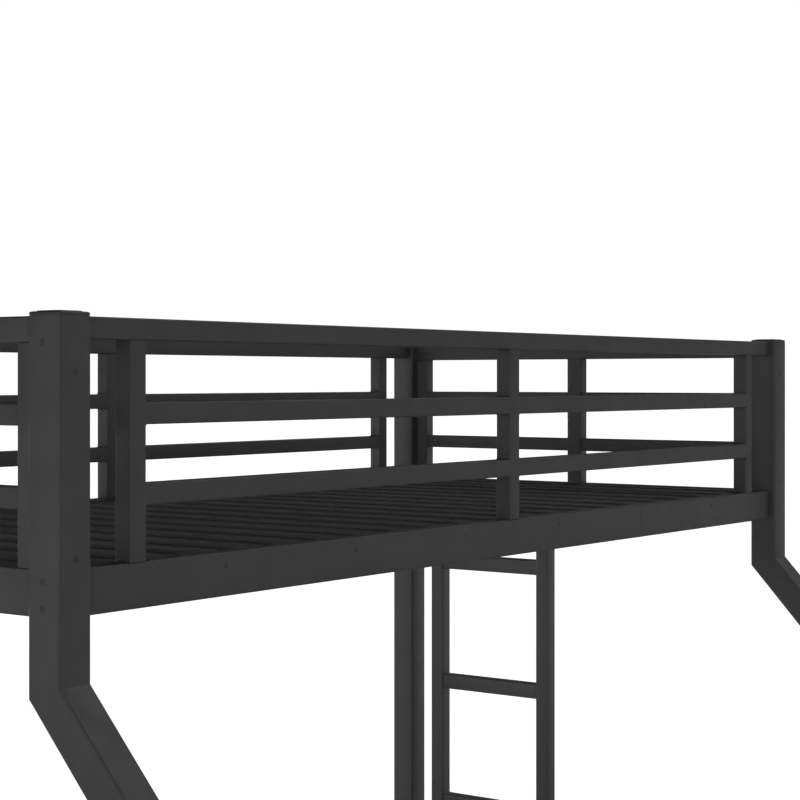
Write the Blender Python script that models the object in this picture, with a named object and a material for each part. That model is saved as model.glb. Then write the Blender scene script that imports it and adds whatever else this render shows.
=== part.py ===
"""Steel bunk bed: a single bunk over a wider one, with a fixed ladder in one end.

Metres, +Z up.  X runs along the bed, from the near end (-X) to the ladder end
(+X).  Y runs across it: -Y is the front, where the lower bunk is wider than the
upper one, and +Y is the back.  The origin is on the floor, under the middle of
the lower bunk.  The tubes are hollow and open at their ends, as they are cut.
"""

import math

import bmesh
import bpy
from mathutils import Vector

# ---------------------------------------------------------------- driving sizes
LENGTH = 2.090            # over the posts
UPPER_WIDTH = 0.991       # over the posts of the upper bunk
LOWER_WIDTH = 1.491       # over the posts of the lower bunk
POST_TOP = 1.630          # top of the posts, under their caps
GAP = 0.0003              # clearance between pieces that touch

POST = 0.055              # square posts and legs
POST_WALL = 0.0012
POST_CORNER = 0.0045
TUBE = 0.0285             # square tube of the rails and the guards
TUBE_WALL = 0.0010
TUBE_CORNER = 0.0025
SIDE_RAIL_HEIGHT = 0.0595
END_TOP_HEIGHT = 0.033
END_BAR_DEPTH = 0.020     # guard bars of the ends are thinner than their uprights
END_MIDDLE_WIDTH = 0.035  # middle upright of an end guard

UPPER_DECK = 1.318        # top of the upper side rails and slats
GUARD_BARS = (1.508, 1.404)   # middle heights of the two guard bars
GUARD_INSET = 0.082       # clear space between a post and the first upright
END_GUARD_INSET = 0.005   # the same in the ends

BEND_TOP = 1.1768         # where the front face of a leg turns outward
BEND_SLANT = 0.0178       # the inner face turns this much lower
LEG_SLOPE = math.radians(42.4)
SEAM = 0.500              # joint between the upper and the lower posts
SPIGOT_LENGTH = 0.160
SPIGOT_WALL = 0.002

LOWER_DECK = 0.360        # top of the lower side rails and slats
HEAD_RAIL_TOP = 0.470     # top of the lower bunk's end rails

LADDER_TUBE = 0.0325
LADDER_SPACING = 0.2922   # between the stringers' centre lines
LADDER_FROM_BACK = 0.2645  # from the back of the bed to the ladder's centre line
RUNG_STEP = 0.284
RUNG_COUNT = 4
RUNG_HEIGHT = 0.034
RUNG_DEPTH = 0.0265

SLAT_COUNT = 21
SLAT_PITCH = 0.0949
SLAT_WIDTH = 0.040
SLAT_THICKNESS = 0.012
SLATS_PER_NEAR_PANEL = 11
CARRIER_WIDTH = 0.020     # flat bars that the slats are welded to
CARRIER_THICKNESS = 0.004
LEDGE_WIDTH = 0.025       # lip inside a side rail that carries the slat panels
LEDGE_THICKNESS = 0.003
WELD_OVERLAP = 0.001      # how far welded shapes run into each other

BEAM_WIDTH = 0.030        # centre beam under the lower slats
BEAM_HEIGHT = 0.040
BEAM_LEG_X = 0.330        # its two legs, from the middle of the bed
BEAM_LEG = 0.030

CAP_RISE = 0.006
CAP_ROUND = 0.005
CAP_CORNER_GAIN = 1.5     # the corners of a cap open out as its rim rounds over
PLUG_DEPTH = 0.018
FOOT_HEIGHT = 0.010
FOOT_CORNER = 0.003

# ---------------------------------------------------------------- derived sizes
HALF_LENGTH = LENGTH / 2
BACK = LOWER_WIDTH / 2
UPPER_FRONT = BACK - UPPER_WIDTH
LOWER_FRONT = -LOWER_WIDTH / 2
POST_X = HALF_LENGTH - POST / 2
BACK_Y = BACK - POST / 2
UPPER_FRONT_Y = UPPER_FRONT + POST / 2
LOWER_FRONT_Y = LOWER_FRONT + POST / 2
CLEAR_HALF_LENGTH = HALF_LENGTH - POST - GAP
CLEAR_BACK = BACK - POST - GAP
END_INNER_X = POST_X - TUBE / 2
LADDER_X = END_INNER_X + LADDER_TUBE / 2
LADDER_Y = BACK - LADDER_FROM_BACK
UPPER_RAIL_BOTTOM = UPPER_DECK - SIDE_RAIL_HEIGHT

AXES = {"X": Vector((1, 0, 0)), "Y": Vector((0, 1, 0)), "Z": Vector((0, 0, 1))}


# ---------------------------------------------------------------- materials
def make_material(name, color, roughness, metallic):
    material = bpy.data.materials.new(name)
    material.use_nodes = True
    shader = material.node_tree.nodes["Principled BSDF"]
    shader.inputs["Base Color"].default_value = (*color, 1.0)
    shader.inputs["Roughness"].default_value = roughness
    shader.inputs["Metallic"].default_value = metallic
    return material


def steel_finish(name):
    return make_material(name + "_coat", (0.045, 0.045, 0.046), 0.55, 0.0)


def plastic_finish(name):
    return make_material(name + "_plastic", (0.030, 0.030, 0.031), 0.45, 0.0)


# ---------------------------------------------------------------- mesh tools
def section(width, height, corner, steps):
    """Corner points of a rounded rectangle, counter-clockwise from above."""
    points = []
    for index in range(4):
        turn = math.radians(90 * index)
        side_x = 1 if index in (0, 3) else -1
        side_y = 1 if index in (0, 1) else -1
        for step in range(steps + 1):
            angle = turn + math.radians(90) * step / steps
            x = side_x * (width / 2 - corner) + corner * math.cos(angle)
            y = side_y * (height / 2 - corner) + corner * math.sin(angle)
            points.append((x, y))
    return points


def loft(name, rings, finish, bore=None):
    """A closed body through the rings; bore holds the rings of its inner wall."""
    mesh = bmesh.new()
    outer = [[mesh.verts.new(point) for point in ring] for ring in rings]
    inner = [[mesh.verts.new(point) for point in ring] for ring in bore or []]
    count = len(rings[0])
    for walls in (outer, inner):
        for low, high in zip(walls, walls[1:]):
            for index in range(count):
                after = (index + 1) % count
                mesh.faces.new((low[index], low[after], high[after], high[index]))
    for end in (0, -1):
        if inner:
            for index in range(count):
                after = (index + 1) % count
                quad = (outer[end][index], outer[end][after],
                        inner[end][after], inner[end][index])
                mesh.faces.new(quad)
        else:
            mesh.faces.new(outer[end])
    bmesh.ops.recalc_face_normals(mesh, faces=mesh.faces)
    data = bpy.data.meshes.new(name)
    mesh.to_mesh(data)
    mesh.free()
    item = bpy.data.objects.new(name, data)
    bpy.context.scene.collection.objects.link(item)
    if finish:
        data.materials.append(finish(name))
    data.shade_smooth()
    data.set_sharp_from_angle(angle=math.radians(35))
    return item


def placed_ring(outline, axis, center, offset):
    """An outline laid across an axis: its x and y follow the next two axes."""
    order = {"X": ("Y", "Z"), "Y": ("Z", "X"), "Z": ("X", "Y")}[axis]
    first, second = AXES[order[0]], AXES[order[1]]
    origin = Vector(center) + AXES[axis] * offset
    return [origin + first * x + second * y for x, y in outline]


def tube(name, axis, center, length, width, height, wall, corner, steps=1,
         finish=steel_finish):
    """A straight rectangular tube; wall 0 makes it a solid bar."""
    outline = section(width, height, corner, steps)
    ends = (-length / 2, length / 2)
    rings = [placed_ring(outline, axis, center, end) for end in ends]
    bore = None
    if wall:
        hollow = section(width - 2 * wall, height - 2 * wall,
                         max(corner - wall, wall / 2), steps)
        bore = [placed_ring(hollow, axis, center, end) for end in ends]
    return loft(name, rings, finish, bore)


def box(center, size):
    """A plain block that is only used to build another part."""
    half = Vector(size) / 2
    corners = ((-1, -1), (1, -1), (1, 1), (-1, 1))
    rings = []
    for level in (-1, 1):
        ring = [Vector(center) + Vector((x * half.x, y * half.y, level * half.z))
                for x, y in corners]
        rings.append(ring)
    return loft("block", rings, None)


def join(target, extras):
    """Weld the extra bodies to the target by exact Boolean unions."""
    for extra in extras:
        union = target.modifiers.new("weld", "BOOLEAN")
        union.operation = "UNION"
        union.solver = "EXACT"
        union.object = extra
    graph = bpy.context.evaluated_depsgraph_get()
    welded = bpy.data.meshes.new_from_object(target.evaluated_get(graph))
    target.modifiers.clear()
    target.data = welded
    for extra in extras:
        bpy.data.objects.remove(extra, do_unlink=True)
    return target


# ---------------------------------------------------------------- posts and legs
def make_upper_leg(name, x):
    """A front leg: down, outward at a slope, then down to the seam."""
    run = LOWER_WIDTH - UPPER_WIDTH
    drop = run / math.tan(LEG_SLOPE)
    seam = SEAM + GAP
    front = ((0.0, POST_TOP), (0.0, BEND_TOP), (run, BEND_TOP - drop), (run, seam))
    rear_bend = BEND_TOP - BEND_SLANT
    rear = ((0.0, POST_TOP), (0.0, rear_bend), (run, rear_bend - drop), (run, seam))

    def rings(inset):
        outline = section(POST - 2 * inset, POST - 2 * inset,
                          max(POST_CORNER - inset, POST_WALL / 2), 2)
        result = []
        for (out_a, z_a), (_, z_b) in zip(front, rear):
            middle_y = UPPER_FRONT_Y - out_a
            slant = (z_b - z_a) / POST
            middle_z = (z_a + z_b) / 2
            ring = [Vector((x + px, middle_y + py, middle_z + slant * py))
                    for px, py in outline]
            result.append(ring)
        return result

    return loft(name, rings(0.0), steel_finish, rings(POST_WALL))


def make_posts():
    upper_length = POST_TOP - SEAM - GAP
    lower_length = SEAM - FOOT_HEIGHT - GAP
    for end, x in (("near", -POST_X), ("far", POST_X)):
        make_upper_leg("front_leg_" + end, x)
        tube("back_post_" + end, "Z", (x, BACK_Y, POST_TOP - upper_length / 2),
             upper_length, POST, POST, POST_WALL, POST_CORNER, 2)
        for side, y in (("front", LOWER_FRONT_Y), ("back", BACK_Y)):
            tube("lower_post_" + side + "_" + end, "Z", (x, y, SEAM - lower_length / 2),
                 lower_length, POST, POST, POST_WALL, POST_CORNER, 2)
            spigot = POST - 2 * POST_WALL - 2 * GAP
            tube("spigot_" + side + "_" + end, "Z", (x, y, SEAM),
                 SPIGOT_LENGTH, spigot, spigot, SPIGOT_WALL, POST_CORNER - POST_WALL, 1)
            make_foot("foot_" + side + "_" + end, x, y, POST, POST_WALL, POST_CORNER, 2)
        for side, y in (("front", UPPER_FRONT_Y), ("back", BACK_Y)):
            make_cap("cap_" + side + "_" + end, x, y)


def make_cap(name, x, y):
    """A plug that fills the top of a post, under a plate with a rounded rim."""
    plug = POST - 2 * POST_WALL - 2 * GAP
    base = POST_TOP + GAP
    levels = [(plug, POST_CORNER - POST_WALL, POST_TOP - PLUG_DEPTH),
              (plug, POST_CORNER - POST_WALL, base),
              (POST, POST_CORNER, base)]
    for step in range(4):
        angle = math.radians(90) * step / 3
        inset = CAP_ROUND * (1 - math.cos(angle))
        height = POST_TOP + CAP_RISE - CAP_ROUND * (1 - math.sin(angle))
        levels.append((POST - 2 * inset, POST_CORNER + CAP_CORNER_GAIN * inset, height))
    rings = [placed_ring(section(size, size, corner, 2), "Z", (x, y, z), 0.0)
             for size, corner, z in levels]
    loft(name, rings, plastic_finish)


def make_foot(name, x, y, size, wall, corner, steps=1):
    """A glide: a pad on the floor with a plug that fills the tube above it."""
    plug = size - 2 * wall - 2 * GAP
    inner = max(corner - wall, wall / 2)
    levels = ((size - 2 * FOOT_CORNER, corner, 0.0),
              (size, corner, FOOT_CORNER),
              (size, corner, FOOT_HEIGHT),
              (plug, inner, FOOT_HEIGHT),
              (plug, inner, FOOT_HEIGHT + PLUG_DEPTH))
    rings = [placed_ring(section(width, width, radius, steps), "Z", (x, y, z), 0.0)
             for width, radius, z in levels]
    loft(name, rings, plastic_finish)


# ---------------------------------------------------------------- rails
def make_long_rail(name, y, top, height, ledge_side=0):
    """A rail between two posts; ledge_side is where its slat lip points in Y."""
    rail = tube(name, "X", (0.0, y, top - height / 2), 2 * CLEAR_HALF_LENGTH,
                TUBE, height, TUBE_WALL, TUBE_CORNER)
    if ledge_side:
        slat_underside = top - SLAT_THICKNESS - CARRIER_THICKNESS - GAP
        reach = LEDGE_WIDTH + WELD_OVERLAP
        middle = y + ledge_side * (TUBE / 2 - WELD_OVERLAP + reach / 2)
        lip = box((0.0, middle, slat_underside - LEDGE_THICKNESS / 2),
                  (2 * CLEAR_HALF_LENGTH, reach, LEDGE_THICKNESS))
        join(rail, [lip])


def make_rails():
    for side, y, inward in (("front", UPPER_FRONT_Y, 1), ("back", BACK_Y, -1)):
        make_long_rail("top_rail_" + side, y, POST_TOP, TUBE)
        make_long_rail("upper_side_rail_" + side, y, UPPER_DECK, SIDE_RAIL_HEIGHT, inward)
    for side, y, inward in (("front", LOWER_FRONT_Y, 1), ("back", BACK_Y, -1)):
        make_long_rail("lower_side_rail_" + side, y, LOWER_DECK, SIDE_RAIL_HEIGHT, inward)
    upper_start = UPPER_FRONT + POST + GAP
    lower_start = LOWER_FRONT + POST + GAP
    for end, x in (("near", -POST_X), ("far", POST_X)):
        make_cross_rail("end_top_rail_" + end, x, upper_start, CLEAR_BACK,
                        POST_TOP, END_TOP_HEIGHT)
        make_cross_rail("upper_end_rail_" + end, x, upper_start, CLEAR_BACK,
                        UPPER_DECK, SIDE_RAIL_HEIGHT)
    make_cross_rail("lower_head_rail_near", -POST_X, lower_start, CLEAR_BACK,
                    HEAD_RAIL_TOP, END_TOP_HEIGHT)
    make_cross_rail("lower_end_rail_near", -POST_X, lower_start, CLEAR_BACK,
                    LOWER_DECK, SIDE_RAIL_HEIGHT)
    make_far_lower_rails(lower_start)


def make_cross_rail(name, x, start, stop, top, height):
    tube(name, "Y", (x, (start + stop) / 2, top - height / 2), stop - start,
         height, TUBE, TUBE_WALL, TUBE_CORNER)


def make_far_lower_rails(start):
    """At the ladder end the lower rails stop at the stringers on both sides."""
    reach = LADDER_SPACING / 2 + LADDER_TUBE / 2 + GAP
    for name, top, height in (("lower_head_rail_far", HEAD_RAIL_TOP, END_TOP_HEIGHT),
                              ("lower_end_rail_far", LOWER_DECK, SIDE_RAIL_HEIGHT)):
        make_cross_rail(name, POST_X, start, LADDER_Y - reach, top, height)
        make_cross_rail(name + "_stub", POST_X, LADDER_Y + reach, CLEAR_BACK, top, height)


# ---------------------------------------------------------------- guard panels
def make_long_guard(name, y):
    """Three uprights between the side rail and the top rail, with two bars."""
    low = UPPER_DECK + GAP
    high = POST_TOP - TUBE - GAP
    outer_x = HALF_LENGTH - POST - GUARD_INSET - TUBE / 2
    uprights = [tube("upright", "Z", (x, y, (low + high) / 2), high - low,
                     TUBE, TUBE, 0, TUBE_CORNER, finish=None)
                for x in (-outer_x, 0.0, outer_x)]
    bar_length = outer_x - TUBE + 2 * WELD_OVERLAP
    bars = [tube("bar", "X", (side * outer_x / 2, y, z), bar_length,
                 TUBE, TUBE, 0, TUBE_CORNER, finish=None)
            for side in (-1, 1) for z in GUARD_BARS]
    finish_guard(name, uprights, bars)


def make_end_guard(name, x):
    """The same across an end: outer uprights beside the posts, a wider middle one."""
    low = UPPER_DECK + GAP
    high = POST_TOP - END_TOP_HEIGHT - GAP
    middle_y = (UPPER_FRONT + BACK) / 2
    outer = UPPER_WIDTH / 2 - POST - END_GUARD_INSET - TUBE / 2
    uprights = []
    for offset, width in ((-outer, TUBE), (0.0, END_MIDDLE_WIDTH), (outer, TUBE)):
        center = (x, middle_y + offset, (low + high) / 2)
        uprights.append(tube("upright", "Z", center, high - low,
                             TUBE, width, 0, TUBE_CORNER, finish=None))
    inner_edge = END_MIDDLE_WIDTH / 2 - WELD_OVERLAP
    outer_edge = outer - TUBE / 2 + WELD_OVERLAP
    bars = [tube("bar", "Y", (x, middle_y + side * (inner_edge + outer_edge) / 2, z),
                 outer_edge - inner_edge, TUBE, END_BAR_DEPTH, 0, TUBE_CORNER,
                 finish=None)
            for side in (-1, 1) for z in GUARD_BARS]
    finish_guard(name, uprights, bars)


def finish_guard(name, uprights, bars):
    panel = join(uprights[0], uprights[1:] + bars)
    panel.name = name
    panel.data.name = name
    panel.data.materials.clear()
    panel.data.materials.append(steel_finish(name))


# ---------------------------------------------------------------- slat panels
def make_slat_panel(name, deck, front, back, first, count):
    """Slats across the bed, welded to flat bars that rest on the rails' lips."""
    inner_front = front + POST / 2 + TUBE / 2 + 2 * GAP
    inner_back = back - POST / 2 - TUBE / 2 - 2 * GAP
    middle_y = (inner_front + inner_back) / 2
    width = inner_back - inner_front
    slat_z = deck - SLAT_THICKNESS / 2
    start_x = (first - (SLAT_COUNT - 1) / 2) * SLAT_PITCH
    slats = [box((start_x + index * SLAT_PITCH, middle_y, slat_z),
                 (SLAT_WIDTH, width, SLAT_THICKNESS)) for index in range(count)]
    span = (count - 1) * SLAT_PITCH + SLAT_WIDTH
    carrier_height = CARRIER_THICKNESS + WELD_OVERLAP
    carrier_z = deck - SLAT_THICKNESS + WELD_OVERLAP - carrier_height / 2
    carriers = []
    for side in (-1, 1):
        y = middle_y + side * (width / 2 - CARRIER_WIDTH / 2 - WELD_OVERLAP)
        carriers.append(box((start_x + span / 2 - SLAT_WIDTH / 2, y, carrier_z),
                            (span - 2 * WELD_OVERLAP, CARRIER_WIDTH, carrier_height)))
    panel = join(carriers[0], slats + carriers[1:])
    panel.name = name
    panel.data.name = name
    panel.data.materials.clear()
    panel.data.materials.append(steel_finish(name))


def make_decks():
    far_count = SLAT_COUNT - SLATS_PER_NEAR_PANEL
    for level, deck, front in (("upper", UPPER_DECK, UPPER_FRONT),
                               ("lower", LOWER_DECK, LOWER_FRONT)):
        make_slat_panel(level + "_slats_near", deck, front, BACK,
                        0, SLATS_PER_NEAR_PANEL)
        make_slat_panel(level + "_slats_far", deck, front, BACK,
                        SLATS_PER_NEAR_PANEL, far_count)


def make_centre_support():
    """A beam under the middle of the lower slats, on two legs."""
    top = LOWER_DECK - SLAT_THICKNESS - GAP
    tube("centre_beam", "X", (0.0, 0.0, top - BEAM_HEIGHT / 2),
         2 * (END_INNER_X - GAP), BEAM_WIDTH, BEAM_HEIGHT, TUBE_WALL, TUBE_CORNER)
    leg_top = top - BEAM_HEIGHT - GAP
    leg_bottom = FOOT_HEIGHT + GAP
    for end, x in (("near", -BEAM_LEG_X), ("far", BEAM_LEG_X)):
        tube("centre_leg_" + end, "Z", (x, 0.0, (leg_top + leg_bottom) / 2),
             leg_top - leg_bottom, BEAM_LEG, BEAM_LEG, TUBE_WALL, TUBE_CORNER)
        make_foot("centre_foot_" + end, x, 0.0, BEAM_LEG, TUBE_WALL, TUBE_CORNER)


# ---------------------------------------------------------------- ladder
def make_ladder():
    """Two stringers from the floor to the upper end rail, with four rungs."""
    bottom = FOOT_HEIGHT + GAP
    top = UPPER_RAIL_BOTTOM - GAP
    for side, sign in (("front", -1), ("back", 1)):
        y = LADDER_Y + sign * LADDER_SPACING / 2
        tube("ladder_stringer_" + side, "Z", (LADDER_X, y, (top + bottom) / 2),
             top - bottom, LADDER_TUBE, LADDER_TUBE, TUBE_WALL, TUBE_CORNER)
        make_foot("ladder_foot_" + side, LADDER_X, y, LADDER_TUBE, TUBE_WALL, TUBE_CORNER)
    for number in range(1, RUNG_COUNT + 1):
        tube("ladder_rung_%d" % number, "Y",
             (LADDER_X, LADDER_Y, number * RUNG_STEP - RUNG_HEIGHT / 2),
             LADDER_SPACING - LADDER_TUBE - 2 * GAP, RUNG_HEIGHT, RUNG_DEPTH,
             TUBE_WALL, TUBE_CORNER)


# ---------------------------------------------------------------- the bed
def clear_scene():
    for item in list(bpy.data.objects):
        bpy.data.objects.remove(item, do_unlink=True)


def build_bed():
    clear_scene()
    make_posts()
    make_rails()
    make_long_guard("guard_front", UPPER_FRONT_Y)
    make_long_guard("guard_back", BACK_Y)
    make_end_guard("guard_near_end", -POST_X)
    make_end_guard("guard_far_end", POST_X)
    make_decks()
    make_centre_support()
    make_ladder()


build_bed()
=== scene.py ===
"""The looks of the steel bunk bed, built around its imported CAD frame.

Metres, +Z up, in the frame's own axes: +X runs to the ladder end, +Y to the back.
"""

import math

import bmesh
import bpy
from mathutils import Matrix, Vector


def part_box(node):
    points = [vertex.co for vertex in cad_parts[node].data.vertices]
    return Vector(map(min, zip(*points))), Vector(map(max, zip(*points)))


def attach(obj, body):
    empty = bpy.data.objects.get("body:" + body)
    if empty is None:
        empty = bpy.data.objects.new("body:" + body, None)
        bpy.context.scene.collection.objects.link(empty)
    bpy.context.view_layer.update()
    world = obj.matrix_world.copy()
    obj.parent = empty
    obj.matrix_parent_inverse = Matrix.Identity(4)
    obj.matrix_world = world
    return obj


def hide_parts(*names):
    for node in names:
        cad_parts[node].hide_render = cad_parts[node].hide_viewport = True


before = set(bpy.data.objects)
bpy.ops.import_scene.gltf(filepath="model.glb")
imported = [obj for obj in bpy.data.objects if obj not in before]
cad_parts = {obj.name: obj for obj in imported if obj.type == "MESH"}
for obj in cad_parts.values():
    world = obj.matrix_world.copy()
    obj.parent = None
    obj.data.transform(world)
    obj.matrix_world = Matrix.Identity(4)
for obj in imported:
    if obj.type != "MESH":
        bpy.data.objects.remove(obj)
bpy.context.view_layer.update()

# ------------------------------------------------------------------ named sizes
POST_CORNER = 0.0045      # outer corner radii of the posts and the other tubes
TUBE_CORNER = 0.0026
POST_WALL = 0.0012
TUBE_WALL = 0.0010
GAP = 0.0003              # clearance between a plug and its tube
CORNER_STEPS = 5
EASE = 0.00015            # deburred edge of a sawn tube end
REACH = 0.00025           # a drawn rail reaches this far into its clearance
FOOT_ROUND = 0.0004       # rounded ends of the guard uprights
WELD = 0.0022             # leg length of a weld fillet

BEND_TOP = 1.1768         # where the front face of a leg turns outward
BEND_SLANT = 0.0178       # the inner face turns this much lower
LEG_SLOPE = math.radians(42.4)

GUARD_BARS = (1.508, 1.404)   # middle heights of the guard bars
BAR_HEIGHT = 0.0285
BEND_ANGLE = 28           # edges of the bent legs sharper than this stay sharp
END_BAR_DEPTH = 0.020
END_MIDDLE_WIDTH = 0.035
BAR_EMBED = 0.0029        # how far a bar runs into the upright it is welded to
FLUSH_SHAVE = 0.00006     # a flush bar is ground this far below the upright's face

SLAT_WIDTH = 0.040
SLAT_THICKNESS = 0.012
SLAT_EDGE = 0.0030        # rolled long edges of a slat
CARRIER_WIDTH = 0.020
STRIP_EDGE = 0.0008       # edges of the flat strips
LIP_THICKNESS = 0.003
LIP_EMBED = 0.0006        # how far it runs into the rail's wall
LIP_TRIM = 0.002          # shorter than the rail at each end
CARRIER_TRIM = 0.001      # shorter than the deck at each end

CAP_RISE = 0.0057
CAP_ROUND = 0.0024        # rolled rim of a cap
CAP_STEP = 0.0010         # its raised middle
CAP_GROOVE = 0.0004       # height of the shadow groove under the rim
GROOVE_DEPTH = 0.0010
CAP_CORNER_GAIN = 1.5     # its corners open this much faster than its sides draw in
CAP_TOP = ((0.0046, 0.0010), (0.0048, 0.0003), (0.0052, 0.0))  # inset, below the top
PAD_HEIGHT = 0.010
PAD_ROUND = 0.003

BOLT_RADIUS = 0.0040      # flush button heads in the posts
COUNTERBORE_RADIUS = 0.0044
COUNTERBORE_DEPTH = 0.0009
BOLT_FLOOR = 0.00085      # how far below the face a head starts
BOLT_RIM = ((1.00, 0.0004), (0.96, 0.00022), (0.84, 0.00010))  # of its radius, and depth
SOCKET_DEPTH = 0.0006
SOCKET_SHARE = 0.42       # a socket's half width over the radius of the head's flat
CUTTER_RISE = 0.002       # a counterbore's cutter stands this far out of the face
DISC_SIDES = 24
RIVET_RADIUS = 0.0034     # proud heads on the rails and the guards
RIVET_RISE = 0.0011
RIVET_SEAT = 0.00003      # clear of the face
RIVET_ARC = (15, 29, 43, 57, 71, 85)
RAIL_BOLT_SPREAD = 0.016  # the two bolts of a side rail, above and below its middle
TOP_BOLT_DROP = 0.004     # the third bolt, below the top rail's underside
GUARD_BOLTS = (0.036, 0.0145)   # below the end guard's top, above its foot
GUARD_NUTS = (0.031, 0.013)     # the same on its inner faces
LIP_RIVET_RISE = 0.012    # above the side rail's middle
LIP_RIVETS = 6
LIP_RIVET_STEP = 0.290

SMOOTH_ANGLE = 32         # sharper edges than this are drawn sharp
MERGE = 0.000002          # points a Boolean leaves this close become one

AXES = {"X": Vector((1, 0, 0)), "Y": Vector((0, 1, 0)), "Z": Vector((0, 0, 1))}
SIDES = ("front", "back")
ENDS = ("near", "far")

# ------------------------------------------------------------------ light and view
FLOOR_SIZE = 60.0
FLOOR_DROP = 0.0006
FLOOR_COLOR = (0.80, 0.80, 0.80, 1.0)
PAINTED_FLOOR_GLOW = (0.62, 0.95)  # painted glow the camera sees on the floor: dimmer round the bed as a painted shade pool, brighter away from it
PAINTED_GLOW_FADE = (2.2, 4.4)     # distances from the middle where the painted shade pool starts to fade and where it is gone
SKY_SEEN = 1.02           # what the camera sees of the backdrop
# Studio panels far away: compass direction from +X, half width, lower and upper
# edge (degrees), brightness.
PANELS = (
    (150, 15, -30, 12, 2.17),
    (210, 15, -30, 12, 2.15),
    (240, 15, -30, 12, 1.22),
    (300, 15, -30, 12, 0.86),
    (330, 15, -30, 12, 0.41),
    (0, 30, 30, 55, 1.52),
    (300, 30, 30, 55, 0.72),
    (215, 30, 25, 55, 0.25),
)
PANEL_SOFTNESS = 4
# Softboxes round the bed: compass direction from +X and power.
SOFTBOXES = ((0, 12.0), (90, 32.7), (150, 7.0), (210, 12.1), (300, 4.3))
SOFTBOX_DISTANCE = 4.0
SOFTBOX_HEIGHT = 0.8
SOFTBOX_SIZE = (2.4, 1.5)
BED_MIDDLE = Vector((0.0, 0.25, 0.9))

CAMERA_FROM_POST = Vector((-1.5663, -1.6491))   # from the near front post's corner
CAMERA_HEIGHT = 1.552
CAMERA_HEADING = math.radians(36.04)
CAMERA_LENS = 83.36
CAMERA_SHIFT_Y = -0.02616


# ------------------------------------------------------------------ materials
class Graph:
    """A short way to write a node material on object coordinates."""

    def __init__(self, name):
        self.material = bpy.data.materials.new(name)
        self.material.use_nodes = True
        self.nodes = self.material.node_tree.nodes
        self.links = self.material.node_tree.links
        self.shader = self.nodes["Principled BSDF"]
        self.place = self.nodes.new("ShaderNodeTexCoord").outputs["Object"]

    def add(self, kind, **settings):
        node = self.nodes.new(kind)
        for key, value in settings.items():
            setattr(node, key, value)
        return node

    def link(self, source, target):
        self.links.new(source, target)

    def noise(self, scale, detail=2.0, roughness=0.5):
        node = self.add("ShaderNodeTexNoise")
        node.inputs["Scale"].default_value = scale
        node.inputs["Detail"].default_value = detail
        node.inputs["Roughness"].default_value = roughness
        self.link(self.place, node.inputs["Vector"])
        return node.outputs["Fac"]

    def span(self, source, low, high, to_low, to_high):
        node = self.add("ShaderNodeMapRange")
        for key, value in (("From Min", low), ("From Max", high),
                           ("To Min", to_low), ("To Max", to_high)):
            node.inputs[key].default_value = value
        self.link(source, node.inputs["Value"])
        return node.outputs["Result"]

    def mix(self, factor, first, second):
        node = self.add("ShaderNodeMix", data_type="RGBA")
        for socket, value in ((node.inputs[6], first), (node.inputs[7], second)):
            if isinstance(value, tuple):
                socket.default_value = (*value, 1.0)
            else:
                self.link(value, socket)
        self.link(factor, node.inputs[0])
        return node.outputs[2]

    def math(self, operation, first, second):
        node = self.add("ShaderNodeMath", operation=operation)
        for socket, value in zip(node.inputs, (first, second)):
            if isinstance(value, (int, float)):
                socket.default_value = value
            else:
                self.link(value, socket)
        return node.outputs["Value"]

    def edges(self, radius):
        """1 on edges that a rounding of this radius would change, else 0."""
        bevel = self.add("ShaderNodeBevel", samples=4)
        bevel.inputs["Radius"].default_value = radius
        normal = self.add("ShaderNodeNewGeometry").outputs["Normal"]
        dot = self.add("ShaderNodeVectorMath", operation="DOT_PRODUCT")
        self.link(bevel.outputs["Normal"], dot.inputs[0])
        self.link(normal, dot.inputs[1])
        return self.span(dot.outputs["Value"], 0.80, 0.99, 1.0, 0.0)

    def bump(self, height, strength, distance, below=None):
        node = self.add("ShaderNodeBump")
        node.inputs["Strength"].default_value = strength
        node.inputs["Distance"].default_value = distance
        self.link(height, node.inputs["Height"])
        if below is not None:
            self.link(below, node.inputs["Normal"])
        return node.outputs["Normal"]


def powder_coat(name, color, roughness, peel):
    """Baked polyester powder: fine orange peel, faint mottling, rubbed edges."""
    graph = Graph(name)
    light = tuple(c * 1.06 for c in color)
    dark = tuple(c * 0.95 for c in color)
    rubbed = tuple(c * 1.30 for c in color)
    mottle = graph.span(graph.noise(7.0, 4.0), 0.35, 0.65, 0.0, 1.0)
    grain = graph.span(graph.noise(900.0, 2.0), 0.30, 0.70, 0.0, 1.0)
    tone = graph.mix(mottle, dark, light)
    speck = graph.mix(graph.math("MULTIPLY", grain, 0.20), tone, light)
    wear = graph.math("MULTIPLY", graph.edges(0.0012),
                      graph.span(graph.noise(38.0, 5.0, 0.65), 0.52, 0.68, 0.0, 0.5))
    graph.link(graph.mix(wear, speck, rubbed), graph.shader.inputs["Base Color"])
    rough = graph.span(graph.noise(22.0, 3.0), 0.3, 0.7, roughness - 0.04, roughness + 0.05)
    graph.link(graph.math("SUBTRACT", rough, graph.math("MULTIPLY", wear, 0.10)),
               graph.shader.inputs["Roughness"])
    coarse = graph.bump(graph.noise(420.0, 2.0), peel, 0.0004)
    fine = graph.bump(graph.noise(1500.0, 1.0), peel * 0.6, 0.0002, coarse)
    graph.link(fine, graph.shader.inputs["Normal"])
    graph.shader.inputs["Metallic"].default_value = 0.0
    graph.shader.inputs["IOR"].default_value = 1.5
    return graph.material


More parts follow.
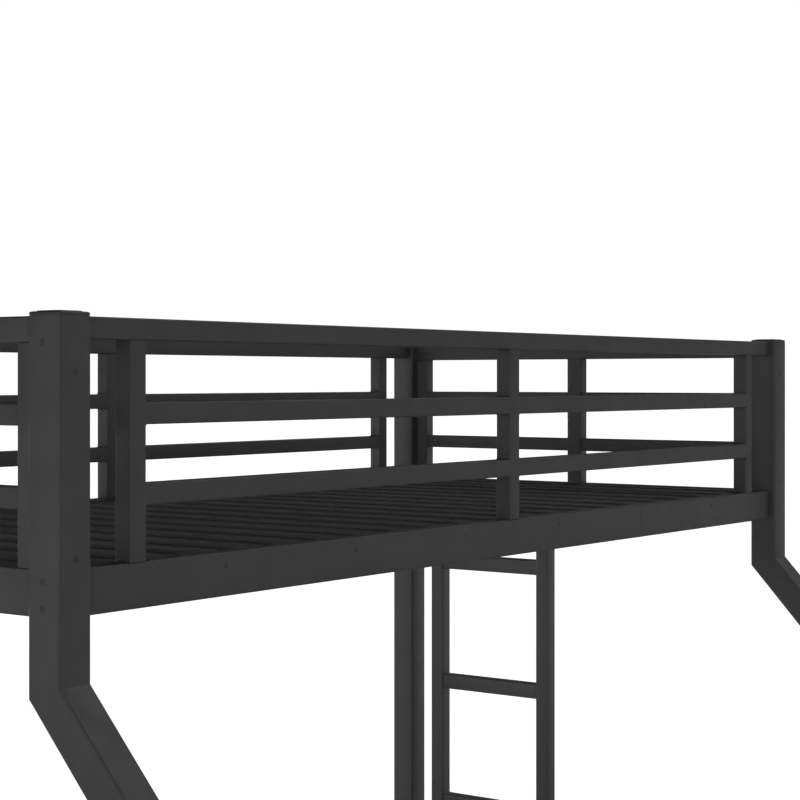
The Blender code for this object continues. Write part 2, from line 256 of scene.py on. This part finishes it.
def moulded_plastic(name, color):
    """Spark-eroded black plastic, as caps and glides are moulded."""
    graph = Graph(name)
    light = tuple(c * 1.2 for c in color)
    cloud = graph.span(graph.noise(30.0, 3.0), 0.35, 0.65, 0.0, 1.0)
    scuff = graph.math("MULTIPLY", graph.edges(0.0010),
                       graph.span(graph.noise(60.0, 4.0), 0.48, 0.66, 0.0, 0.4))
    tone = graph.mix(cloud, color, light)
    graph.link(graph.mix(scuff, tone, tuple(c * 1.7 for c in color)),
               graph.shader.inputs["Base Color"])
    graph.link(graph.span(graph.noise(200.0, 2.0), 0.3, 0.7, 0.44, 0.58),
               graph.shader.inputs["Roughness"])
    graph.link(graph.bump(graph.noise(1100.0, 2.0), 0.25, 0.0003),
               graph.shader.inputs["Normal"])
    graph.shader.inputs["IOR"].default_value = 1.46
    return graph.material


def blackened_steel(name, color):
    """The dark oiled steel of bolts and rivets."""
    graph = Graph(name)
    patch = graph.span(graph.noise(160.0, 3.0), 0.35, 0.65, 0.0, 1.0)
    graph.link(graph.mix(patch, color, tuple(c * 1.5 for c in color)),
               graph.shader.inputs["Base Color"])
    graph.link(graph.span(graph.noise(500.0, 2.0), 0.3, 0.7, 0.36, 0.50),
               graph.shader.inputs["Roughness"])
    graph.link(graph.bump(graph.noise(1800.0, 2.0), 0.12, 0.0002),
               graph.shader.inputs["Normal"])
    graph.shader.inputs["Metallic"].default_value = 0.25
    return graph.material


COAT = powder_coat("powder_coat", (0.063, 0.063, 0.064), 0.50, 0.15)
SLAT_COAT = powder_coat("slat_coat", (0.060, 0.060, 0.061), 0.48, 0.10)
PLASTIC = moulded_plastic("black_plastic", (0.056, 0.056, 0.057))
BOLT_STEEL = blackened_steel("blackened_steel", (0.045, 0.045, 0.047))


# ------------------------------------------------------------------ mesh tools
def section(width, height, corner, steps=CORNER_STEPS):
    """Corner points of a rounded rectangle, counter-clockwise."""
    points = []
    for index in range(4):
        side_x = 1 if index in (0, 3) else -1
        side_y = 1 if index in (0, 1) else -1
        for step in range(steps + 1):
            angle = math.radians(90) * (index + step / steps)
            points.append((side_x * (width / 2 - corner) + corner * math.cos(angle),
                           side_y * (height / 2 - corner) + corner * math.sin(angle)))
    return points


def across(outline, axis, origin):
    """An outline laid across an axis through a point."""
    order = {"X": ("Y", "Z"), "Y": ("Z", "X"), "Z": ("X", "Y")}[axis]
    first, second = AXES[order[0]], AXES[order[1]]
    return [Vector(origin) + first * x + second * y for x, y in outline]


def loft(mesh, rings, bore=None):
    """Adds a closed body through the rings; bore holds the rings of its inner wall."""
    outer = [[mesh.verts.new(point) for point in ring] for ring in rings]
    inner = [[mesh.verts.new(point) for point in ring] for ring in bore or []]
    count = len(rings[0])
    made = []
    for walls in (outer, inner):
        for low, high in zip(walls, walls[1:]):
            for index in range(count):
                after = (index + 1) % count
                made.append(mesh.faces.new((low[index], low[after],
                                            high[after], high[index])))
    for end in (0, -1):
        if inner:
            for index in range(count):
                after = (index + 1) % count
                made.append(mesh.faces.new((outer[end][index], outer[end][after],
                                            inner[end][after], inner[end][index])))
        else:
            made.append(mesh.faces.new(outer[end]))
    bmesh.ops.recalc_face_normals(mesh, faces=made)


# Shapes of a bar's ends: distance from the end, and what each side gains there.
EASED = ((0.0, -EASE, -EASE), (EASE, 0.0, 0.0))
ROUNDED = tuple((FOOT_ROUND * (1 - math.cos(math.radians(angle))),
                 -FOOT_ROUND * (1 - math.sin(math.radians(angle))),
                 -FOOT_ROUND * (1 - math.sin(math.radians(angle))))
                for angle in (0, 30, 60, 90))
SQUARE = ((0.0, 0.0, 0.0),)


def fillet(grow_first, grow_second):
    """End profile of a bar with a concave weld fillet round its joint."""
    profile = []
    for angle in (0, 22, 45, 67, 90):
        out = WELD * (1 - math.sin(math.radians(angle)))
        profile.append((BAR_EMBED + WELD * (1 - math.cos(math.radians(angle))),
                        out * grow_first, out * grow_second))
    return ((0.0, profile[0][1], profile[0][2]),) + tuple(profile)


def add_bar(mesh, axis, low, high, corner, wall=0.0, ends=EASED):
    """A bar or tube that fills the box from low to high; ends shapes both its ends.

    Each step of ends is a distance from the end and what the section gains there.
    """
    index = "XYZ".index(axis)
    first, second = (index + 1) % 3, (index + 2) % 3
    size = high - low
    center = (low + high) / 2
    stations = [(low[index] + step, a, b) for step, a, b in ends]
    stations += [(high[index] - step, a, b) for step, a, b in reversed(ends)]
    rings = []
    for value, grow_first, grow_second in stations:
        point = center.copy()
        point[index] = value
        outline = section(size[first] + 2 * grow_first, size[second] + 2 * grow_second,
                          max(corner + min(grow_first, grow_second), corner / 2))
        rings.append(across(outline, axis, point))
    bore = None
    if wall:
        hollow = section(size[first] - 2 * wall, size[second] - 2 * wall,
                         max(corner - wall, wall / 2))
        bore = []
        for value in (low[index], high[index]):
            point = center.copy()
            point[index] = value
            bore.append(across(hollow, axis, point))
    loft(mesh, rings, bore)


def to_object(name, mesh, material, angle=SMOOTH_ANGLE):
    """Turns a bmesh into a smooth-shaded object with sharp edges."""
    data = bpy.data.meshes.new(name)
    mesh.to_mesh(data)
    mesh.free()
    data.shade_smooth()
    data.set_sharp_from_angle(angle=math.radians(angle))
    item = bpy.data.objects.new(name, data)
    bpy.context.scene.collection.objects.link(item)
    data.materials.append(material)
    return item


def combine(target, other, operation):
    """Exact Boolean of two bodies; the first keeps the result."""
    modifier = target.modifiers.new("combine", "BOOLEAN")
    modifier.operation = operation
    modifier.solver = "EXACT"
    modifier.object = other
    depsgraph = bpy.context.evaluated_depsgraph_get()
    result = bpy.data.meshes.new_from_object(target.evaluated_get(depsgraph))
    target.modifiers.clear()
    mesh = bmesh.new()
    mesh.from_mesh(result)
    bmesh.ops.remove_doubles(mesh, verts=mesh.verts, dist=MERGE)
    bmesh.ops.dissolve_degenerate(mesh, edges=mesh.edges, dist=MERGE)
    mesh.to_mesh(result)
    mesh.free()
    result.name = target.data.name
    target.data = result
    result.shade_smooth()
    result.set_sharp_from_angle(angle=math.radians(SMOOTH_ANGLE))
    bpy.data.objects.remove(other, do_unlink=True)


def place(piece, slot, *nodes):
    """Puts a finished piece on the frame and hides the CAD parts it stands in for."""
    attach(piece, "root")
    if nodes:
        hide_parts(*nodes)


# ------------------------------------------------------------------ fasteners
def facing(point, normal):
    """A matrix that takes +Z to the normal at a point."""
    turn = Vector(normal).to_track_quat("Z", "Y").to_matrix().to_4x4()
    return Matrix.Translation(Vector(point)) @ turn


def add_disc(mesh, pose, profile, socket_depth=0.0):
    """A turned shape through (radius, height) pairs, with a hexagonal socket if asked."""
    angles = [2 * math.pi * index / DISC_SIDES for index in range(DISC_SIDES)]
    rings = [[pose @ Vector((radius * math.cos(a), radius * math.sin(a), height))
              for a in angles] for radius, height in profile]
    if socket_depth:
        radius, top = profile[-1]
        flat = radius * SOCKET_SHARE * math.cos(math.pi / 6)
        for height in (top, top - socket_depth):
            ring = []
            for a in angles:
                sector = (a + math.pi / 6) % (math.pi / 3) - math.pi / 6
                reach = flat / math.cos(sector)
                ring.append(pose @ Vector((reach * math.cos(a), reach * math.sin(a), height)))
            rings.append(ring)
    loft(mesh, rings)


def flush_bolt(mesh, point, normal):
    """A socket head that sits in a counterbore, just below the face."""
    profile = [(BOLT_RADIUS, -BOLT_FLOOR)]
    profile += [(BOLT_RADIUS * share, -depth) for share, depth in BOLT_RIM]
    add_disc(mesh, facing(point, normal), profile, SOCKET_DEPTH)


def rivet(mesh, point, normal):
    """A low domed head standing on a face."""
    profile = [(RIVET_RADIUS, RIVET_SEAT)]
    for angle in map(math.radians, RIVET_ARC):
        profile.append((RIVET_RADIUS * math.cos(angle), RIVET_RISE * math.sin(angle)))
    add_disc(mesh, facing(point, normal), profile)


def post_bolts(side, end, level):
    """Places and directions of the flush bolts in one post."""
    outward_x = -1 if end == "near" else 1
    outward_y = -1 if side == "front" else 1
    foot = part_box(("cap_" if level == "upper" else "foot_") + side + "_" + end)
    middle = (foot[0] + foot[1]) / 2
    half = (foot[1].x - foot[0].x) / 2
    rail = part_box(level + "_side_rail_" + side)
    rail_z = (rail[0].z + rail[1].z) / 2
    heights_x = [rail_z - RAIL_BOLT_SPREAD, rail_z + RAIL_BOLT_SPREAD]
    if level == "upper":
        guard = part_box("guard_%s_end" % end)
        heights_x.append(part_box("top_rail_" + side)[0].z - TOP_BOLT_DROP)
        heights_y = [guard[1].z - GUARD_BOLTS[0], guard[0].z + GUARD_BOLTS[1]]
    else:
        heights_y = []
        for name in ("lower_head_rail_near", "lower_end_rail_near"):
            low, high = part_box(name)
            heights_y.append((low.z + high.z) / 2)
    places = [(Vector((middle.x + outward_x * half, middle.y, z)), (outward_x, 0, 0))
              for z in heights_x]
    places += [(Vector((middle.x, middle.y + outward_y * half, z)), (0, outward_y, 0))
               for z in heights_y]
    return places


def counterbore(tube, places):
    """Cuts the seats of the bolts into a tube's wall."""
    profile = ((COUNTERBORE_RADIUS, -COUNTERBORE_DEPTH), (COUNTERBORE_RADIUS, CUTTER_RISE))
    mesh = bmesh.new()
    for point, normal in places:
        add_disc(mesh, facing(point, normal), profile)
    combine(tube, to_object("cutter", mesh, COAT), "DIFFERENCE")


def make_bolts():
    """All the flush bolts, as one piece."""
    mesh = bmesh.new()
    for level in ("upper", "lower"):
        for side in SIDES:
            for end in ENDS:
                for point, normal in post_bolts(side, end, level):
                    flush_bolt(mesh, point, normal)
    place(to_object("post_bolts", mesh, BOLT_STEEL, 30), "powder_coat")


def make_rivets():
    """Rivets of the slats' lips, and domed nuts on the end guards' inner faces."""
    mesh = bmesh.new()
    for level in ("upper", "lower"):
        for side, outward in (("front", -1), ("back", 1)):
            low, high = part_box(level + "_side_rail_" + side)
            face = low.y if outward < 0 else high.y
            z = (low.z + high.z) / 2 + LIP_RIVET_RISE
            for index in range(LIP_RIVETS):
                x = (index - (LIP_RIVETS - 1) / 2) * LIP_RIVET_STEP
                rivet(mesh, (x, face, z), (0, outward, 0))
    for end in ENDS:
        low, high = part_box("guard_%s_end" % end)
        depth = high.x - low.x
        x = (low.x + high.x) / 2
        for z in (high.z - GUARD_NUTS[0], low.z + GUARD_NUTS[1]):
            rivet(mesh, (x, low.y + depth, z), (0, 1, 0))
            rivet(mesh, (x, high.y - depth, z), (0, -1, 0))
    place(to_object("rivets", mesh, BOLT_STEEL, 30), "powder_coat")


# ------------------------------------------------------------------ posts and tubes
def make_bent_leg(end):
    """A front leg: straight down, turned outward by two mitres, straight down again."""
    node = "front_leg_" + end
    low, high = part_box(node)
    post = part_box("back_post_" + end)
    width = post[1].x - post[0].x
    run = (high.y - low.y) - width
    drop = run / math.tan(LEG_SLOPE)
    x = (low.x + high.x) / 2
    upper_y = high.y - width / 2
    stations = ((0.0, high.z, 0.0, EASE), (0.0, high.z - EASE, 0.0, 0.0),
                (0.0, BEND_TOP, BEND_SLANT, 0.0),
                (run, BEND_TOP - drop, BEND_SLANT, 0.0),
                (run, low.z + EASE, 0.0, 0.0), (run, low.z, 0.0, EASE))

    def rings(thickness):
        result = []
        for out, z_front, slant, ease in stations:
            inset = thickness or ease
            size = width - 2 * inset
            outline = section(size, size, max(POST_CORNER - inset, POST_WALL / 2))
            result.append([Vector((x + px, upper_y - out + py,
                                   z_front - slant * (py / width + 0.5)))
                           for px, py in outline])
        return result

    mesh = bmesh.new()
    loft(mesh, rings(0.0), rings(POST_WALL))
    leg = to_object(node + "_tube", mesh, COAT, BEND_ANGLE)
    counterbore(leg, post_bolts("front", end, "upper"))
    place(leg, "powder_coat", node)


def make_tube(node, axis, corner=TUBE_CORNER, wall=TUBE_WALL, bolts=(), reach=0.0):
    """A straight tube in its node's box, with seats for its bolts."""
    low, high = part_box(node)
    low, high = low - AXES[axis] * reach, high + AXES[axis] * reach
    mesh = bmesh.new()
    add_bar(mesh, axis, low, high, corner, wall)
    tube = to_object(node + "_tube", mesh, COAT)
    if bolts:
        counterbore(tube, bolts)
    place(tube, "powder_coat", node)


def make_posts():
    """The upper and lower posts, with the seats of their bolts."""
    for end in ENDS:
        make_bent_leg(end)
        make_tube("back_post_" + end, "Z", POST_CORNER, POST_WALL,
                  post_bolts("back", end, "upper"))
        for side in SIDES:
            make_tube("lower_post_%s_%s" % (side, end), "Z", POST_CORNER, POST_WALL,
                      post_bolts(side, end, "lower"))


def make_plain_rails():
    """The tubes that are plain lengths of one section."""
    for node in ("top_rail_front", "top_rail_back", "centre_beam"):
        make_tube(node, "X", reach=REACH)
    for node in ("end_top_rail_near", "end_top_rail_far", "upper_end_rail_near",
                 "upper_end_rail_far", "lower_head_rail_near", "lower_end_rail_near",
                 "lower_head_rail_far", "lower_head_rail_far_stub",
                 "lower_end_rail_far", "lower_end_rail_far_stub"):
        make_tube(node, "Y", reach=REACH)
    for node in ("centre_leg_near", "centre_leg_far",
                 "ladder_stringer_front", "ladder_stringer_back"):
        make_tube(node, "Z")


def make_side_rail(level, side):
    """A side rail with the lip that carries the slats welded inside it."""
    node = "%s_side_rail_%s" % (level, side)
    low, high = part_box(node)
    low, high = low - AXES["X"] * REACH, high + AXES["X"] * REACH
    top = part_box("top_rail_front")
    tube_width = top[1].y - top[0].y
    tube_low, tube_high, lip_low, lip_high = low.copy(), high.copy(), low.copy(), high.copy()
    if side == "front":
        tube_high.y = low.y + tube_width
        lip_low.y = tube_high.y - LIP_EMBED
    else:
        tube_low.y = high.y - tube_width
        lip_high.y = tube_low.y + LIP_EMBED
    lip_high.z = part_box(level + "_slats_near")[0].z - GAP
    lip_low.z = lip_high.z - LIP_THICKNESS
    mesh = bmesh.new()
    add_bar(mesh, "X", tube_low, tube_high, TUBE_CORNER, TUBE_WALL)
    rail = to_object(node + "_tube", mesh, COAT)
    mesh = bmesh.new()
    trim = AXES["X"] * LIP_TRIM
    add_bar(mesh, "X", lip_low + trim, lip_high - trim, STRIP_EDGE, ends=SQUARE)
    combine(rail, to_object("lip", mesh, COAT), "UNION")
    place(rail, "powder_coat", node)


# ------------------------------------------------------------------ guards and ladder
def make_guard(node, axis):
    """Three uprights joined by two pairs of bars; the ends' bars are set back."""
    low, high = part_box(node)
    along = "XYZ".index(axis)
    through = 1 - along
    depth = high[through] - low[through]
    middle = (low[along] + high[along]) / 2
    middle_half = (depth if axis == "X" else END_MIDDLE_WIDTH) / 2
    spans = ((low[along], low[along] + depth),
             (middle - middle_half, middle + middle_half),
             (high[along] - depth, high[along]))
    mesh = bmesh.new()
    for start, stop in spans:
        upright_low, upright_high = low.copy(), high.copy()
        upright_low[along], upright_high[along] = start, stop
        upright_low.z -= REACH
        upright_high.z += REACH
        add_bar(mesh, "Z", upright_low, upright_high, TUBE_CORNER, ends=ROUNDED)
    panel = to_object(node + "_panel", mesh, COAT)
    if axis == "X":
        setback, ends = FLUSH_SHAVE, fillet(0.0, 1.0)
    else:
        setback, ends = (depth - END_BAR_DEPTH) / 2, fillet(1.0, 1.0)
    mesh = bmesh.new()
    for (_, start), (stop, _) in zip(spans, spans[1:]):
        for z in GUARD_BARS:
            bar_low, bar_high = low.copy(), high.copy()
            bar_low[along], bar_high[along] = start - BAR_EMBED, stop + BAR_EMBED
            bar_low.z, bar_high.z = z - BAR_HEIGHT / 2, z + BAR_HEIGHT / 2
            bar_low[through] += setback
            bar_high[through] -= setback
            add_bar(mesh, axis, bar_low, bar_high, TUBE_CORNER, ends=ends)
    combine(panel, to_object("bars", mesh, COAT), "UNION")
    place(panel, "powder_coat", node)


def make_rungs():
    """Rungs with a weld fillet round each end."""
    for number in (1, 2, 3, 4):
        node = "ladder_rung_%d" % number
        low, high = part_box(node)
        profile = tuple((step - BAR_EMBED, a, b) for step, a, b in fillet(1.0, 1.0)[1:])
        mesh = bmesh.new()
        add_bar(mesh, "Y", low, high, TUBE_CORNER, TUBE_WALL, profile)
        place(to_object(node + "_tube", mesh, COAT), "powder_coat", node)


# ------------------------------------------------------------------ slats
def make_slats(node, count):
    """Rolled slats welded to two flat strips."""
    low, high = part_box(node)
    pitch = (high.x - low.x - SLAT_WIDTH) / (count - 1)
    slat_bottom = high.z - SLAT_THICKNESS
    mesh = bmesh.new()
    for index in range(count):
        start = low.x + index * pitch
        add_bar(mesh, "Y", Vector((start, low.y, slat_bottom)),
                Vector((start + SLAT_WIDTH, high.y, high.z)), SLAT_EDGE)
    deck = to_object(node + "_deck", mesh, SLAT_COAT)
    mesh = bmesh.new()
    for start in (low.y + GAP, high.y - CARRIER_WIDTH - GAP):
        strip_low = Vector((low.x + CARRIER_TRIM, start, low.z))
        strip_high = Vector((high.x - CARRIER_TRIM, start + CARRIER_WIDTH,
                             slat_bottom + STRIP_EDGE))
        add_bar(mesh, "X", strip_low, strip_high, STRIP_EDGE, ends=SQUARE)
    combine(deck, to_object("strips", mesh, SLAT_COAT), "UNION")
    place(deck, "slat_coat", node)


# ------------------------------------------------------------------ caps and glides
def turned_square(mesh, middle, levels):
    """A square moulding through (size, corner, height) levels."""
    loft(mesh, [across(section(size, size, corner), "Z", (middle.x, middle.y, z))
                for size, corner, z in levels])


def make_cap(node):
    """A cap: a plate with a rolled rim and a raised middle, over a plug."""
    low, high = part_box(node)
    width = high.x - low.x
    seat = high.z - CAP_RISE
    shoulder = high.z - CAP_STEP
    plug = width - 2 * POST_WALL - 2 * GAP
    levels = [(plug, POST_CORNER - POST_WALL, low.z),
              (plug, POST_CORNER - POST_WALL, seat),
              (width - 2 * GROOVE_DEPTH, POST_CORNER, seat),
              (width - 2 * GROOVE_DEPTH, POST_CORNER, seat + CAP_GROOVE),
              (width, POST_CORNER, seat + CAP_GROOVE)]
    for step in range(7):
        angle = math.radians(15) * step
        inset = CAP_ROUND * (1 - math.cos(angle))
        levels.append((width - 2 * inset, POST_CORNER + CAP_CORNER_GAIN * inset,
                       shoulder - CAP_ROUND * (1 - math.sin(angle))))
    for inset, drop in CAP_TOP:
        levels.append((width - 2 * inset, POST_CORNER + CAP_CORNER_GAIN * inset,
                       high.z - drop))
    mesh = bmesh.new()
    turned_square(mesh, (low + high) / 2, levels)
    place(to_object(node + "_moulding", mesh, PLASTIC, 40), "black_plastic", node)


def make_glide(node, wall, corner):
    """A glide: a pad with a rounded rim under a plug inside the tube."""
    low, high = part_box(node)
    width = high.x - low.x
    plug = width - 2 * wall - 2 * GAP
    levels = []
    for step in range(6):
        angle = math.radians(18) * step
        levels.append((width - 2 * PAD_ROUND * (1 - math.sin(angle)), corner,
                       low.z + PAD_ROUND * (1 - math.cos(angle))))
    for size, radius, z in ((width, corner, low.z + PAD_HEIGHT),
                            (plug, max(corner - wall, wall), low.z + PAD_HEIGHT),
                            (plug, max(corner - wall, wall), high.z)):
        levels.append((size, radius, z))
    mesh = bmesh.new()
    turned_square(mesh, (low + high) / 2, levels)
    place(to_object(node + "_moulding", mesh, PLASTIC, 40), "black_plastic", node)


def make_mouldings():
    """Every plastic cap and glide."""
    for side in SIDES:
        for end in ENDS:
            make_cap("cap_%s_%s" % (side, end))
            make_glide("foot_%s_%s" % (side, end), POST_WALL, POST_CORNER)
    for node in ("centre_foot_near", "centre_foot_far",
                 "ladder_foot_front", "ladder_foot_back"):
        make_glide(node, TUBE_WALL, TUBE_CORNER)


def dress_spigots():
    """The spigots stay as the CAD made them, inside the posts."""
    for side in SIDES:
        for end in ENDS:
            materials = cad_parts["spigot_%s_%s" % (side, end)].data.materials
            materials.clear()
            materials.append(COAT)


# ------------------------------------------------------------------ the studio
def make_floor():
    """A pale floor; the camera sees a painted glow on it, dimmer round the bed as a painted
    shade pool and white away from it.
    """
    mesh = bmesh.new()
    bmesh.ops.create_grid(mesh, x_segments=1, y_segments=1, size=FLOOR_SIZE)
    material = bpy.data.materials.new("pale_floor_painted_glow")
    material.use_nodes = True
    nodes, links = material.node_tree.nodes, material.node_tree.links
    shader = nodes["Principled BSDF"]
    shader.inputs["Base Color"].default_value = FLOOR_COLOR
    shader.inputs["Roughness"].default_value = 0.9
    shader.inputs["Emission Color"].default_value = (1.0, 1.0, 1.0, 1.0)
    place_node = nodes.new("ShaderNodeTexCoord")
    away = nodes.new("ShaderNodeVectorMath")
    away.operation = "LENGTH"
    links.new(place_node.outputs["Object"], away.inputs[0])
    painted_pool_fade = nodes.new("ShaderNodeMapRange")
    painted_pool_fade.interpolation_type = "SMOOTHSTEP"
    for key, value in zip(("From Min", "From Max", "To Min", "To Max"),
                          PAINTED_GLOW_FADE + PAINTED_FLOOR_GLOW):
        painted_pool_fade.inputs[key].default_value = value
    links.new(away.outputs["Value"], painted_pool_fade.inputs["Value"])
    # painted glow for camera rays only: weaker round the bed, which paints a pool of shade
    # there
    path = nodes.new("ShaderNodeLightPath")
    painted_glow = nodes.new("ShaderNodeMath")
    painted_glow.operation = "MULTIPLY"
    links.new(path.outputs["Is Camera Ray"], painted_glow.inputs[0])
    links.new(painted_pool_fade.outputs["Result"], painted_glow.inputs[1])
    links.new(painted_glow.outputs["Value"], shader.inputs["Emission Strength"])
    floor = to_object("floor", mesh, material)
    floor.location.z = -FLOOR_DROP


def make_world():
    """A white backdrop for the camera, and soft panels that light the bed."""
    world = bpy.data.worlds.new("studio")
    bpy.context.scene.world = world
    world.use_nodes = True
    nodes, links = world.node_tree.nodes, world.node_tree.links

    def math_node(operation, *values):
        node = nodes.new("ShaderNodeMath")
        node.operation = operation
        for socket, value in zip(node.inputs, values):
            if isinstance(value, (int, float)):
                socket.default_value = value
            else:
                links.new(value, socket)
        return node.outputs["Value"]

    def window(value, edge, direction):
        """1 inside an edge, falling softly to 0 outside it."""
        node = nodes.new("ShaderNodeMapRange")
        node.interpolation_type = "SMOOTHSTEP"
        soft = math.radians(PANEL_SOFTNESS) / 2
        node.inputs["From Min"].default_value = math.radians(edge) - direction * soft
        node.inputs["From Max"].default_value = math.radians(edge) + direction * soft
        links.new(value, node.inputs["Value"])
        return node.outputs["Result"]

    place_node = nodes.new("ShaderNodeTexCoord")
    split = nodes.new("ShaderNodeSeparateXYZ")
    links.new(place_node.outputs["Generated"], split.inputs["Vector"])
    azimuth = math_node("ARCTAN2", split.outputs["Y"], split.outputs["X"])
    elevation = math_node("ARCSINE", split.outputs["Z"])
    total = None
    for heading, half_width, bottom, top, strength in PANELS:
        turned = math_node("SUBTRACT", azimuth, math.radians(heading))
        wrapped = math_node("WRAP", turned, math.pi, -math.pi)
        away = math_node("ABSOLUTE", wrapped)
        shape = math_node("MULTIPLY", window(away, half_width, -1),
                          window(elevation, top, -1))
        shape = math_node("MULTIPLY", shape, window(elevation, bottom, 1))
        lit = math_node("MULTIPLY", shape, strength)
        total = lit if total is None else math_node("ADD", total, lit)
    path = nodes.new("ShaderNodeLightPath")
    seen = nodes.new("ShaderNodeMix")
    links.new(path.outputs["Is Camera Ray"], seen.inputs["Factor"])
    links.new(total, seen.inputs[2])
    seen.inputs[3].default_value = SKY_SEEN
    background = nodes["Background"]
    background.inputs["Color"].default_value = (1.0, 1.0, 1.0, 1.0)
    links.new(seen.outputs[0], background.inputs["Strength"])


def make_softboxes():
    """Area lights in a ring round the bed, aimed at its middle."""
    for heading, power in SOFTBOXES:
        data = bpy.data.lights.new("softbox_%d" % heading, "AREA")
        data.shape = "RECTANGLE"
        data.size, data.size_y = SOFTBOX_SIZE
        data.energy = power
        lamp = bpy.data.objects.new(data.name, data)
        angle = math.radians(heading)
        lamp.location = (BED_MIDDLE.x + SOFTBOX_DISTANCE * math.cos(angle),
                         BED_MIDDLE.y + SOFTBOX_DISTANCE * math.sin(angle), SOFTBOX_HEIGHT)
        aim = BED_MIDDLE - lamp.location
        lamp.rotation_euler = aim.to_track_quat("-Z", "Y").to_euler()
        lamp.visible_camera = False
        bpy.context.scene.collection.objects.link(lamp)


def make_camera():
    """Level, a little above the upper guard bars, off the near front corner."""
    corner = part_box("cap_front_near")[0]
    data = bpy.data.cameras.new("camera")
    data.sensor_width = 36.0
    data.lens = CAMERA_LENS
    data.shift_y = CAMERA_SHIFT_Y
    data.clip_start, data.clip_end = 0.05, 200.0
    camera = bpy.data.objects.new("camera", data)
    camera.location = (corner.x + CAMERA_FROM_POST.x, corner.y + CAMERA_FROM_POST.y,
                       CAMERA_HEIGHT)
    camera.rotation_euler = (math.radians(90), 0.0, CAMERA_HEADING - math.radians(90))
    bpy.context.scene.collection.objects.link(camera)
    bpy.context.scene.camera = camera
    bpy.context.scene.view_settings.view_transform = "Standard"


# ------------------------------------------------------------------ the bed
make_camera()
make_world()
make_softboxes()
make_floor()
make_posts()
make_plain_rails()
for level_name in ("upper", "lower"):
    for side_name in SIDES:
        make_side_rail(level_name, side_name)
    make_slats(level_name + "_slats_near", 11)
    make_slats(level_name + "_slats_far", 10)
for side_name in SIDES:
    make_guard("guard_" + side_name, "X")
for end_name in ENDS:
    make_guard("guard_%s_end" % end_name, "Y")
make_rungs()
make_mouldings()
make_bolts()
make_rivets()
dress_spigots()
